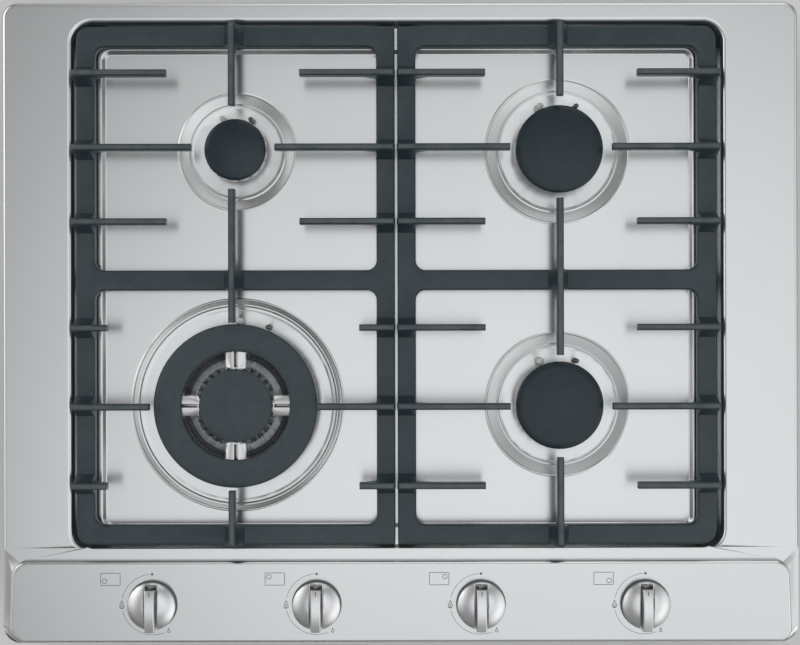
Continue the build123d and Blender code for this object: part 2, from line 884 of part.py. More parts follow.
for burner in burners:
    save(burner_cup(burner), f"burner_cup_{burner.name}")
for burner in burners[:3]:
    save(burner_head(burner), f"burner_head_{burner.name}")
    save(
        domed_cap(burner, burner.cap, cap_skirt_radius(burner), head_top_z),
        f"burner_cap_{burner.name}",
    )

# The large burner: an outer ring channel and a centre crown, joined by four bored bridges.
ring_wall = ring_cap_inner + ring_cap_overhang
ring_channel = ring_wall + crown_wall
with BuildPart() as big_head:
    add(turned(big, [
        (big.neck + socket_clearance, floor_z + skirt_gap),
        *crown_side(big.crown),
        (big.crown - crown_wall, head_top_z),
        (big.crown - crown_wall - chamber_lean, seat_z + chamber_floor),
        (ring_channel, seat_z + chamber_floor),
        (ring_channel, head_top_z),
        (ring_wall, head_top_z),
        (ring_wall, channel_floor_z),
        (flange_ring_radius, channel_floor_z),
        (flange_ring_radius, flange_ring_z),
        (centre_crown_radius - crown_wall + crown_flare, flange_ring_z),
        (centre_crown_radius, head_top_z - crown_rim_depth),
        (centre_crown_radius, head_top_z),
        (centre_crown_radius - 2 * crown_wall, head_top_z),
        (centre_crown_radius - 2 * crown_wall, seat_z + chamber_floor),
        (centre_crown_radius / 2, seat_z + chamber_floor),
        (centre_crown_radius / 2, seat_z),
        (big.neck + socket_clearance, seat_z),
    ]))
    add(port_slots(big, big.crown, big.ports, port_width), mode=Mode.SUBTRACT)
    add(port_slots(big, centre_crown_radius, big.ports // 2, port_width), mode=Mode.SUBTRACT)
    with BuildSketch(Plane.XY.offset(seat_z + chamber_floor)):
        with Locations((big.x, big.y)):
            with PolarLocations((ring_wall + centre_crown_radius - bridge_overlap) / 2, 4):
                Rectangle(ring_wall - centre_crown_radius + 2 * bridge_overlap, bridge_width)
    extrude(amount=head_top_z - seat_z - chamber_floor)
    with BuildSketch(Plane.XY.offset(head_top_z - bridge_groove_depth)):
        with Locations((big.x, big.y)):
            with PolarLocations((ring_wall + centre_crown_radius) / 2, 4):
                Rectangle(ring_wall - centre_crown_radius + 2 * bridge_overlap, bridge_groove)
    extrude(amount=bridge_groove_depth, mode=Mode.SUBTRACT)
    for plane in (Plane.XZ.offset(-big.y), Plane.YZ.offset(big.x)):
        across = big.x if plane.z_dir.Y else big.y
        with BuildSketch(plane):
            with Locations((across, head_top_z - 2 * bridge_bore)):
                Circle(bridge_bore)
        extrude(amount=ring_channel + bridge_overlap / 2, both=True, mode=Mode.SUBTRACT)

ring_cap_skirt = big.crown - crown_wall - chamber_lean - socket_clearance
with BuildPart() as ring_cap:
    with BuildSketch(Plane.XZ.offset(-big.y)):
        with BuildLine():
            ring_profile = [
                (big.x + big.cap - cap_bevel, head_top_z + cap_edge),
                (big.x + big.cap, head_top_z + cap_edge - cap_bevel),
                (big.x + big.cap, head_top_z),
                (big.x + ring_cap_skirt, head_top_z),
                (big.x + ring_cap_skirt, head_top_z - cap_skirt_depth),
                (big.x + ring_cap_skirt - neck_wall, head_top_z - cap_skirt_depth),
                (big.x + ring_cap_skirt - neck_wall, head_top_z),
                (big.x + ring_cap_inner, head_top_z),
                (big.x + ring_cap_inner, head_top_z + cap_edge - cap_bevel),
                (big.x + ring_cap_inner + cap_bevel, head_top_z + cap_edge),
            ]
            Polyline(*ring_profile)
            ThreePointArc(
                ring_profile[-1],
                (big.x + (ring_cap_inner + big.cap) / 2, head_top_z + cap_edge + cap_rise / 2),
                ring_profile[0],
            )
        make_face()
    revolve(axis=Axis((big.x, big.y, 0), (0, 0, 1)))

centre_cap = domed_cap(
    big, centre_cap_radius, centre_crown_radius - 2 * crown_wall - socket_clearance, head_top_z
)

with BuildPart() as injectors:
    for burner in burners:
        with BuildSketch(Plane.XY.offset(cup_floor_z)):
            with Locations((burner.x, burner.y)):
                hex_face(injector_flats, injector_bore)
        extrude(amount=injector_height)
        with BuildSketch(Plane.XY.offset(cup_floor_z + injector_height)):
            with Locations((burner.x, burner.y)):
                Circle(injector_tip_radius)
                Circle(injector_bore, mode=Mode.SUBTRACT)
        extrude(amount=injector_tip_height)

with BuildPart() as igniter_ceramics:
    for burner in burners:
        with BuildSketch(Plane.XY.offset(ceramic_bottom_z)):
            with Locations(igniter_place(burner)):
                Circle(burner.ceramic)
                Circle(pin_radius, mode=Mode.SUBTRACT)
        extrude(amount=ceramic_top_z - ceramic_bottom_z)
        with BuildSketch(Plane.XY.offset(floor_z - sheet)):
            with Locations(igniter_place(burner)):
                Circle(burner.ceramic + collar_width)
                Circle(pin_radius, mode=Mode.SUBTRACT)
        extrude(amount=-collar_height)

with BuildPart() as igniter_pins:
    for burner in burners:
        with BuildSketch(Plane.XY.offset(ceramic_bottom_z - probe_tail)):
            with Locations(igniter_place(burner)):
                Circle(pin_radius)
        extrude(amount=pin_top_z - ceramic_bottom_z + probe_tail)

for burner in burners:
    with BuildPart() as sensor:
        with BuildSketch(Plane.XY.offset(ceramic_bottom_z - probe_tail)):
            with Locations(sensor_place(burner)):
                Circle(sensor_radius)
        extrude(amount=sensor_top_z - ceramic_bottom_z + probe_tail)
        fillet(sensor.faces().sort_by(Axis.Z)[-1].edges(), sensor_radius / 2)
        with BuildSketch(Plane.XY.offset(floor_z - sheet)):
            with Locations(sensor_place(burner)):
                Circle(sensor_radius + collar_width)
        extrude(amount=-collar_height)
    save(sensor.part, f"flame_sensor_{burner.name}")

# ------------------------------------------------------------------ pan supports


def finger(start, direction, points):
    """Upright profile of a finger, given along its length, swept sideways to its width."""
    across = (-direction[1], direction[0], 0)
    plane = Plane(origin=(start[0], start[1], 0), x_dir=(*direction, 0), z_dir=across)
    height = 1 if plane.y_dir.Z > 0 else -1
    with BuildPart() as bar:
        with BuildSketch(plane) as profile:
            with BuildLine():
                Polyline(*[(along, height * z) for along, z in points], close=True)
            make_face()
        extrude(amount=finger_width / 2, both=True)
        top = bar.faces().sort_by(Axis.Z)[-1]
        chamfer(top.edges().sort_by(SortBy.LENGTH)[-2:], finger_chamfer)
    return bar.part


def saddle(start, direction, length):
    """Wedge on the bar that carries a finger's root, tapering up to the finger's width."""
    plane = Plane(origin=(start[0], start[1], frame_top_z - finger_sink),
                  x_dir=(-direction[1], direction[0], 0), z_dir=(*direction, 0))
    height = 1 if plane.y_dir.Z > 0 else -1
    rise = finger_floor_z - frame_top_z + saddle_overlap
    with BuildPart() as wedge:
        with BuildSketch(plane):
            with BuildLine():
                Polyline(
                    (-saddle_width / 2, 0),
                    (saddle_width / 2, 0),
                    (saddle_width / 2 - saddle_step, height * rise * saddle_step_share),
                    (finger_width / 2, height * rise),
                    (-finger_width / 2, height * rise),
                    (-saddle_width / 2 + saddle_step, height * rise * saddle_step_share),
                    close=True,
                )
            make_face()
        extrude(amount=length)
    return wedge.part


def end_finger(start, direction, bar, tip):
    """Finger that rises from a bar and ends at its tip, measured from the bar's outer edge."""
    rounded = [
        (finger_nose * (1 - cos(radians(angle))) - finger_overhang,
         finger_top_z - finger_nose * (1 - sin(radians(angle))))
        for angle in (0, 22.5, 45, 67.5, 90)
    ]
    points = [
        (0, frame_top_z - finger_sink),
        (-finger_overhang, frame_top_z + finger_rise),
        *rounded,
        (tip, finger_top_z),
        (tip, finger_floor_z + finger_tip_drop),
        (tip - finger_bevel, finger_floor_z),
        (bar + finger_root, finger_floor_z),
        (bar + finger_lead, frame_top_z + finger_lead),
        (bar - finger_lead, frame_top_z - finger_sink),
    ]
    return [finger(start, direction, points), saddle(start, direction, bar)]


def cross_finger(start, direction, bar, rear_tip, front_tip):
    """Finger that crosses a bar and reaches out on both sides of it."""
    half = bar / 2
    points = [
        (-half + finger_lead, frame_top_z - finger_sink),
        (-half - finger_lead, frame_top_z + finger_lead),
        (-half - finger_root, finger_floor_z),
        (-rear_tip + finger_bevel, finger_floor_z),
        (-rear_tip, finger_floor_z + finger_tip_drop),
        (-rear_tip, finger_top_z),
        (front_tip, finger_top_z),
        (front_tip, finger_floor_z + finger_tip_drop),
        (front_tip - finger_bevel, finger_floor_z),
        (half + finger_root, finger_floor_z),
        (half + finger_lead, frame_top_z + finger_lead),
        (half - finger_lead, frame_top_z - finger_sink),
    ]
    foot = (start[0] - direction[0] * half, start[1] - direction[1] * half)
    return [finger(start, direction, points), saddle(foot, direction, bar)]


def foot_places(side):
    """Places of the four feet of one support, all of them over the well's ledge."""
    outer_x = support_gap / 2 + support_width - outer_bar / 2
    inner_x = support_gap / 2 + centre_bar / 2
    rear = support_rear_y - rear_bar / 2
    front = tray_front_y - press_radius - foot_radius
    return [(support_x + side * x, y) for x in (inner_x, outer_x) for y in (rear, front)]


def pan_support(side, rear, front):
    """One cast support: a frame with two windows and fingers that reach in over two burners."""
    inner_x = support_gap / 2
    outer_x = inner_x + support_width
    middle_x = support_x + side * (inner_x + support_width / 2)
    length = support_rear_y - support_front_y
    window_left = inner_x + centre_bar
    window_right = outer_x - outer_bar
    window_x = support_x + side * (window_left + window_right) / 2
    window_width = window_right - window_left
    windows = [
        (support_rear_y - rear_bar, middle_bar_y + middle_bar / 2),
        (middle_bar_y - middle_bar / 2, support_front_y + front_bar),
    ]
    with BuildPart() as support:
        with BuildSketch(Plane.XY.offset(support_floor_z)) as frame:
            with Locations((middle_x, support_rear_y)):
                Rectangle(support_width, length, align=(Align.CENTER, Align.MAX))
            by_side = frame.vertices().sort_by(Axis.X)
            outer, inner = (by_side[2:], by_side[:2]) if side > 0 else (by_side[:2], by_side[2:])
            fillet(outer, support_corner)
            fillet(inner, inner_corner)
            for top, bottom in windows:
                with Locations((window_x, (top + bottom) / 2)):
                    RectangleRounded(window_width, top - bottom, window_radius, mode=Mode.SUBTRACT)
        extrude(amount=bar_height)
        chamfer(support.faces().sort_by(Axis.Z)[-1].edges(), bar_chamfer)
        for burner, pitch in ((rear, row_pitch_rear), (front, row_pitch_front)):
            for row in (-1, 0, 1):
                y = burner.y + row * pitch
                free = burner.tip if row == 0 else burner.stub
                inner_end = (support_x + side * inner_x, y)
                outer_end = (support_x + side * outer_x, y)
                reach_in = side * (burner.x - inner_end[0]) - free
                reach_out = side * (outer_end[0] - burner.x) - free
                add(end_finger(inner_end, (side, 0), centre_bar, reach_in))
                add(end_finger(outer_end, (-side, 0), outer_bar, reach_out))
        rear_reach = support_rear_y - rear.y - rear.tip
        front_reach = front.y - support_front_y - front.tip
        long_x = support_x + side * column_x
        add(end_finger((long_x, support_rear_y), (0, -1), rear_bar, rear_reach))
        add(end_finger((long_x, support_front_y), (0, 1), front_bar, front_reach))
        add(cross_finger(
            (long_x, middle_bar_y), (0, -1), middle_bar,
            rear.y - middle_bar_y - rear.tip, middle_bar_y - front.y - front.tip,
        ))
        with BuildSketch(Plane.XY.offset(support_floor_z)):
            with Locations(foot_places(side)):
                Circle(foot_peg_radius)
        extrude(amount=foot_peg_length, mode=Mode.SUBTRACT)
    return support.part


def support_feet(side):
    """Four buffers that plug into one support from below."""
    with BuildPart() as feet:
        with BuildSketch(Plane.XY.offset(ledge_z)):
            with Locations(foot_places(side)):
                Circle(foot_radius)
        extrude(amount=foot_height)
        with BuildSketch(Plane.XY.offset(support_floor_z)):
            with Locations(foot_places(side)):
                Circle(foot_peg_radius - foot_clearance)
        extrude(amount=foot_peg_length - foot_clearance)
    return feet.part


# ------------------------------------------------------------------ taps and knobs


def tap_body(number):
    """Tap under the panel: a block with the plunger's bore, on a saddle over the gas rail."""
    plane = tap_plane(number)
    with BuildPart() as body:
        with BuildSketch(plane.offset(tap_top)):
            with Locations((0, (tap_rear - tap_front) / 2)):
                Rectangle(2 * tap_half_width, tap_front + tap_rear)
        extrude(amount=-tap_height)
        fillet(body.edges().filter_by(Axis(plane.origin, plane.z_dir)), tap_corner)
        with BuildSketch(plane.offset(tap_bottom)):
            Rectangle(2 * (tap_half_width - tap_saddle_inset), 2 * tap_front)
        extrude(amount=-tap_saddle_height)
        with BuildSketch(Plane.YZ.offset(knob_x(number))):
            with Locations((manifold_y, manifold_z)):
                Circle(manifold_radius + running_clearance / 2)
        extrude(amount=tap_half_width, both=True, mode=Mode.SUBTRACT)
        with BuildSketch(Plane.XZ.offset(-pipe_start_y)):
            with Locations((knob_x(number), pipe_z)):
                Circle(union_radius)
        extrude(amount=pipe_start_y - knob_y - tap_rear + union_overlap)
        with BuildSketch(Plane.XZ.offset(-pipe_start_y)):
            with Locations((knob_x(number), pipe_z)):
                Circle(pipe_bore)
        extrude(amount=pipe_start_y - knob_y, mode=Mode.SUBTRACT)
        with BuildSketch(plane.offset(tap_top - tap_neck)):
            Circle(plunger_radius + running_clearance)
        extrude(amount=-(plunger_length + push_travel + 2 * end_clearance), mode=Mode.SUBTRACT)
        with BuildSketch(plane.offset(tap_top)):
            Circle(spindle_radius + running_clearance)
        extrude(amount=-tap_neck, mode=Mode.SUBTRACT)
    return body.part


def tap_plunger(number):
    """Valve plug that slides down when the knob is pushed, with a blind bore for the spindle."""
    plane = tap_plane(number)
    with BuildPart() as plunger:
        with BuildSketch(plane.offset(plunger_top)):
            Circle(plunger_radius)
        extrude(amount=-plunger_length)
        with BuildSketch(plane.offset(plunger_top)):
            Circle(spindle_radius + running_clearance)
        extrude(amount=-plunger_length / 2, mode=Mode.SUBTRACT)
    return plunger.part


def spindle(number):
    """Shaft from the plunger up through the panel into the knob."""
    plane = tap_plane(number)
    bottom = plunger_top - plunger_length / 2 + end_clearance
    with BuildPart() as shaft:
        with BuildSketch(plane.offset(bottom)):
            Circle(spindle_radius)
        extrude(amount=spindle_top - bottom)
    return shaft.part


def knob(number):
    """Round knob with two domed cheeks and a raised grip bar between two grooves."""
    plane = tap_plane(number)
    front_plane = Plane(origin=plane.origin, x_dir=plane.x_dir, z_dir=-plane.y_dir)
    side_plane = Plane(origin=plane.origin, x_dir=plane.y_dir, z_dir=plane.x_dir)
    axis = Axis(plane.origin, plane.z_dir)
    with BuildPart() as grip:
        with BuildSketch(side_plane):
            with BuildLine():
                Polyline(
                    (-knob_radius - groove_width, grip_front),
                    (-knob_radius - groove_width, knob_lift),
                    (grip_rear_y, knob_lift),
                    (grip_rear_y, grip_rear),
                )
                ThreePointArc(
                    (grip_rear_y, grip_rear),
                    (grip_crest_y, grip_top),
                    (-knob_radius - groove_width, grip_front),
                )
            make_face()
        extrude(amount=grip_width / 2, both=True)
        with BuildSketch(plane):
            Circle(knob_radius)
        extrude(amount=2 * grip_top, mode=Mode.INTERSECT)
        fillet(grip.faces().sort_by(axis)[-1].edges(), grip_edge)
    with BuildPart() as body:
        with BuildSketch(front_plane):
            with BuildLine():
                Polyline(
                    (0, knob_lift),
                    (knob_radius - knob_foot, knob_lift),
                    (knob_radius, knob_lift + knob_foot),
                    (knob_radius, knob_shoulder - knob_side_drop),
                )
                ThreePointArc(
                    (knob_radius, knob_shoulder - knob_side_drop),
                    (knob_radius * knob_bulge_share, knob_dome - knob_bulge_drop),
                    (0, knob_dome),
                )
                Line((0, knob_dome), (0, knob_lift))
            make_face()
        revolve(axis=axis)
        with BuildSketch(plane.offset(knob_lift + knob_base)):
            with GridLocations(grip_width + groove_width, 0, 2, 1):
                Rectangle(groove_width, 3 * knob_radius)
            with Locations((0, grip_rear_y)):
                Rectangle(
                    grip_width + groove_width, knob_radius, align=(Align.CENTER, Align.MIN)
                )
        extrude(amount=grip_top, mode=Mode.SUBTRACT)
        add(grip.part)
        with BuildSketch(plane.offset(knob_lift)):
            Circle(spindle_radius + running_clearance / 2)
        extrude(amount=spindle_top - knob_lift + end_clearance, mode=Mode.SUBTRACT)
    return body.part


with BuildPart() as knob_seals:
    for number in range(4):
        with BuildSketch(tap_plane(number)):
            Circle(seal_disc_radius)
            Circle(spindle_radius + spindle_hole_gap, mode=Mode.SUBTRACT)
        extrude(amount=seal_disc_height)

with BuildPart() as tap_rail:
    rail_plane = Plane(origin=(0, knob_y, panel_z(knob_y)), x_dir=(1, 0, 0), z_dir=tap_plane(0).z_dir)
    with BuildSketch(rail_plane.offset(tap_top)):
        with Locations((0, -tap_front)):
            Rectangle(
                2 * (case_half_width - case_sheet), tap_front + tap_rear + rail_rear_reach,
                align=(Align.CENTER, Align.MIN),
            )
        with Locations([(knob_x(number), 0) for number in range(4)]):
            Circle(spindle_radius + spindle_hole_gap, mode=Mode.SUBTRACT)
    extrude(amount=rail_thickness)

# ------------------------------------------------------------------ write the pieces

os.makedirs("parts", exist_ok=True)
save(top_plate.part, "top_plate")
save(rim_seal.part, "rim_seal")
save(base_pan.part, "base_pan")
save(case_nuts.part, "case_nuts")
save(fixing_clamps.part, "fixing_clamps")
save(clamp_screws.part, "clamp_screws")
save(ignition_module.part, "ignition_module")
save(cable_gland.part, "cable_gland")
save(gas_manifold.part, "gas_manifold")
save(inlet_pipe.part, "inlet_pipe")
save(inlet_fitting.part, "inlet_fitting")
save(inlet_nut.part, "inlet_nut")
save(manifold_straps.part, "manifold_straps")
save(big_head.part, "burner_head_front_left")
save(ring_cap.part, "burner_ring_cap_front_left")
save(centre_cap, "burner_centre_cap_front_left")
save(injectors.part, "injectors")
save(igniter_ceramics.part, "igniter_ceramics")
save(igniter_pins.part, "igniter_pins")
save(pan_support(-1, burners[0], burners[3]), "pan_support_left")
save(pan_support(1, burners[1], burners[2]), "pan_support_right")
save(support_feet(-1), "support_feet_left")
save(support_feet(1), "support_feet_right")
save(knob_seals.part, "knob_seals")
save(tap_rail.part, "tap_rail")
for number in range(4):
    save(tap_body(number), f"tap_body_{number + 1}")
    save(tap_plunger(number), f"tap_plunger_{number + 1}")
    save(spindle(number), f"tap_spindle_{number + 1}")
    save(knob(number), f"knob_{number + 1}")
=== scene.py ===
"""Finish, print and light for a built-in gas cooktop with four burners and two cast pan supports.

Metres, apart from the values that say millimetres. The plate is level, its front is towards -Y, and the
case stands on the floor.
"""

import json
from math import atan, cos, pi, radians, sin, tau

import bmesh
import bpy
import numpy as np
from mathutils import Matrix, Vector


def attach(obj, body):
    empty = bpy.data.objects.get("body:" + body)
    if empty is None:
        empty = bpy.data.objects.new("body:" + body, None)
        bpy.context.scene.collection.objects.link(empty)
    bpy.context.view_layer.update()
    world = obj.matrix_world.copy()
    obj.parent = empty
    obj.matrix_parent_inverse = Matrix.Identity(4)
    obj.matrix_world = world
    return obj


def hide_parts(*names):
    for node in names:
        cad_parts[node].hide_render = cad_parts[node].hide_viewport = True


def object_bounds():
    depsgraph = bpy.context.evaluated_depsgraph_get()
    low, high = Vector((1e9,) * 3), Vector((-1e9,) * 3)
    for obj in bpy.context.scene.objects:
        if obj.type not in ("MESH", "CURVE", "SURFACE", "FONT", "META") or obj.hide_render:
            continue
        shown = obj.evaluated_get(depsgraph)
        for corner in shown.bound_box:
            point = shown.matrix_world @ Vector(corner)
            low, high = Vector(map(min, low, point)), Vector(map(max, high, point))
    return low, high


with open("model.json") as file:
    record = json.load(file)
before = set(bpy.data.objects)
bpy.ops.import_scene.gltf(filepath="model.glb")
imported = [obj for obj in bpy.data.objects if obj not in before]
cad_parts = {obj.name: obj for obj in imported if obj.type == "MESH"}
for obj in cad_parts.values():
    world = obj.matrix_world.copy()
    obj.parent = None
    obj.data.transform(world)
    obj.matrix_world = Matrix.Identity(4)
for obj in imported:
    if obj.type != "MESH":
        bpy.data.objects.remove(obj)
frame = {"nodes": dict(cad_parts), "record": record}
cad_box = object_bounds()

MM = 0.001

# --- places on the plate, in millimetres ---
DECK_TOP = 57.5
PANEL_REAR_Y, PANEL_REAR_TOP = -194.0, 60.0
PANEL_FRONT_Y, PANEL_FRONT_TOP = -261.5, 56.0
PANEL_SLOPE = (PANEL_REAR_TOP - PANEL_FRONT_TOP) / (PANEL_REAR_Y - PANEL_FRONT_Y)
PANEL_TILT = atan(PANEL_SLOPE)
TRAY_TOP, DISH_TOP = 47.0, 44.5
LARGE_BURNER = (-133.7, -67.5)
# burner's axis, outer and inner radius of its dish's slope, then the radii of the beads beside them
DISHES = (
    (-133.7, 140.38, 47.6, 39.4, (47.9, 38.7)), (129.3, 140.38, 58.7, 50.0, (59.0, 49.3)),
    (129.3, -67.5, 58.7, 50.0, (59.0, 49.3)), (*LARGE_BURNER, 86.4, 80.5, (86.6, 81.6)),
)
BEAD_HALF_WIDTH, BEAD_HEIGHT, BEAD_SUNK = 1.6, 0.35, 0.1

# --- knobs, in millimetres ---
KNOB_Y = -229.4
KNOB_PITCH = 133.7
KNOB_SHIFT = -1.6
# dark places on a knob, painted shade in the grooves and the notch, and the pointer's own mark:
# distance across and its half width, distance along and its half length
KNOB_SHADE_AND_POINTER = (
    (4.6, 0.5, 0.0, 17.5),  # grooves beside the grip
    (0.0, 4.4, 15.8, 2.0),  # notch behind it
    (0.0, 0.4, 11.0, 1.8),  # pointer
)

# --- places in the castings' finishes, in millimetres ---
# heights between which a painted highlight makes the fingers' tops paler
PAINTED_HIGHLIGHT_FROM, PAINTED_HIGHLIGHT_TO = 79.2, 79.8
# large burner's channel, duller by a heat stain and by painted shade in that recess
CHANNEL_INNER, CHANNEL_OUTER = (28.5, 30.0), (43.0, 44.5)
BRIDGE_SIDE = (7.6, 8.2)
# band in the middle of that channel, spared the darker painted shade of the gaps beside the caps
MID_CHANNEL_RADIUS, MID_CHANNEL_HALF_WIDTH = 35.6, 2.8

# --- print on the control panel, in millimetres and degrees ---
PRINT_HEIGHT = 0.02
LINE_WIDTH, FLAME_LINE, ARC_LINE = 0.5, 0.4, 0.35
DOT_RADIUS = 1.05
ARC_RADIUS = 25.0
ARC_TURNS = ((5.0, 78.0), (102.0, 202.0))
LARGE_FLAME, SMALL_FLAME, INNER_FLAME = 6.6, 3.6, 3.0
INNER_FLAME_DROP = 1.4
SMALL_FLAME_TURN = 211.0
PLAN_PLACE = (-34.0, 20.9)
PLAN_WIDTH, PLAN_DEPTH = 15.8, 10.1
PLAN_RING = 1.9
# place of each knob's burner on its plan, from the plan's middle
PLAN_BURNERS = ((-4.8, -1.6), (-4.8, 1.8), (4.6, 1.8), (4.6, -1.8))

# --- edges: degrees that a crisp edge turns by, and the castings' rounding in millimetres ---
SHOWN = (
    "burner_", "knob_", "igniter_ceramics", "flame_sensor", "support_feet", "feed_pipe", "gas_manifold",
    "inlet_", "cable_gland",
)
CRISP_ANGLE = 35
OTHER_ANGLES = {"top_plate": 25, "base_pan": 30, "igniter_pins": 40}
FACE_WEIGHT = 60
FLAT_ANGLE, ROUNDED_ANGLE = 2, 28
EDGE_ROUNDING, EDGE_STEPS = 0.55, 3

# --- range in which nearly all of a noise lies ---
NOISE_LOW, NOISE_HIGH = 0.3, 0.7

# --- surroundings: middle and reach of the light overhead, then pairs of a stop and its light ---
SKY_MIDDLE, SKY_REACH = (0.10, -0.12), (0.65, 0.6)
SKY_TINT = (0.975, 0.993, 1.0)
SKY_LEVELS = (
    (0.0, 0.24), (0.2, 0.43), (0.31, 0.56), (0.385, 0.74),
    (0.45, 1.02), (0.56, 1.15), (0.7, 1.18), (1.0, 1.22),
)
WALL_TINT = (0.99, 0.995, 1.0)
WALL_LEVELS = (
    (0.0, 1.5), (0.1, 0.35), (0.22, 0.3), (0.3, 0.45), (0.36, 1.6), (0.46, 1.5), (0.53, 1.0),
    (0.62, 0.25), (0.69, 1.5), (0.76, 1.6), (0.81, 0.3), (0.87, 0.25), (0.93, 1.2), (1.0, 1.5),
)
SKY_FROM, SKY_TO = 0.60, 0.93
DIM_FROM, DIM_TO, DIMMEST = 0.1, 0.5, 0.3
BACKDROP = (0.82, 0.82, 0.82)
FLOOR_REACH = 4000.0

# --- camera: metres, degrees, and a shift in pixels of the picture ---
CAMERA_PLACE, CAMERA_RISE = (0.0047, -0.0038), 1.08
CAMERA_TURN = -0.12
VIEW_WIDTH = 0.6516
SENSOR_WIDTH = 36.0
PICTURE_WIDTH, PICTURE_SHIFT = 800, (-6.0, 4.5)


# ------------------------------------------------------------------ meshes


def grid_faces(rows, columns, wrap=True):
    """Four-cornered faces between neighbours of a grid whose points are numbered row by row:
    (i, j), (i, j+1), (i+1, j+1), (i+1, j). With wrap the last column meets the first."""
    steps = columns if wrap else columns - 1
    row, column = np.meshgrid(np.arange(rows - 1), np.arange(steps), indexing="ij")
    after = (column + 1) % columns
    corners = (
        row * columns + column, row * columns + after,
        (row + 1) * columns + after, (row + 1) * columns + column,
    )
    return np.stack(corners, -1).reshape(-1, 4)


def joined(parts):
    """Surfaces, each given as its points and faces, as one: the faces of each count on from the points of
    those before it."""
    starts = np.cumsum([0] + [len(points) for points, _ in parts[:-1]])
    faces = [quads + start for (_, quads), start in zip(parts, starts)]
    return np.concatenate([points for points, _ in parts]), faces


def piece_from(name, points, faces, material):
    """Object at the origin from points in millimetres and a list of face arrays."""
    mesh = bpy.data.meshes.new(name)
    listed = [face for block in faces for face in block.tolist()]
    mesh.from_pydata((points * MM).tolist(), [], listed)
    mesh.update()
    mesh.shade_smooth()
    mesh.materials.append(material)
    piece = bpy.data.objects.new(name, mesh)
    bpy.context.scene.collection.objects.link(piece)
    return piece


def upward(piece):
    """Turns a flat piece's faces so that they look up."""
    skin = bmesh.new()
    skin.from_mesh(piece.data)
    down = [face for face in skin.faces if face.normal.z < 0]
    bmesh.ops.reverse_faces(skin, faces=down)
    skin.to_mesh(piece.data)
    skin.free()


def welded_copy(node, name):
    """Copy of a node's mesh with its loose corners merged into one skin."""
    mesh = frame["nodes"][node].data.copy()
    mesh.name = name
    skin = bmesh.new()
    skin.from_mesh(mesh)
    bmesh.ops.remove_doubles(skin, verts=skin.verts, dist=0.002 * MM)
    bmesh.ops.dissolve_degenerate(skin, edges=skin.edges, dist=0.001 * MM)
    skin.to_mesh(mesh)
    skin.free()
    piece = bpy.data.objects.new(name, mesh)
    bpy.context.scene.collection.objects.link(piece)
    return piece


def flat_faces_whole(piece):
    """Joins faces that lie in one plane, so that only true edges are left."""
    skin = bmesh.new()
    skin.from_mesh(piece.data)
    bmesh.ops.dissolve_limit(skin, angle_limit=radians(FLAT_ANGLE), verts=skin.verts, edges=skin.edges)
    skin.to_mesh(piece.data)
    skin.free()


def soft_edges(piece, angle):
    """Smooth shading that keeps an edge crisp where its faces turn by more than an angle in degrees."""
    piece.data.shade_smooth()
    piece.data.set_sharp_from_angle(angle=radians(angle))
    weight = piece.modifiers.new("level faces", "WEIGHTED_NORMAL")
    weight.keep_sharp = True
    weight.weight = FACE_WEIGHT


def rounded_edges(piece):
    """Smooth shading with every true edge rounded, as a casting's are."""
    piece.data.shade_smooth()
    rounding = piece.modifiers.new("rounding", "BEVEL")
    rounding.width = EDGE_ROUNDING * MM
    rounding.segments = EDGE_STEPS
    rounding.limit_method = "ANGLE"
    rounding.angle_limit = radians(ROUNDED_ANGLE)
    rounding.harden_normals = True


def paint(piece, material):
    """Gives one finish to a whole piece."""
    piece.data.materials.clear()
    piece.data.materials.append(material)


def finished(piece, body, slot, *nodes):
    """Fastens a piece to its body and hides the nodes that it stands for. Its slot is not used."""
    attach(piece, body)
    if nodes:
        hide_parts(*nodes)


# ------------------------------------------------------------------ material building


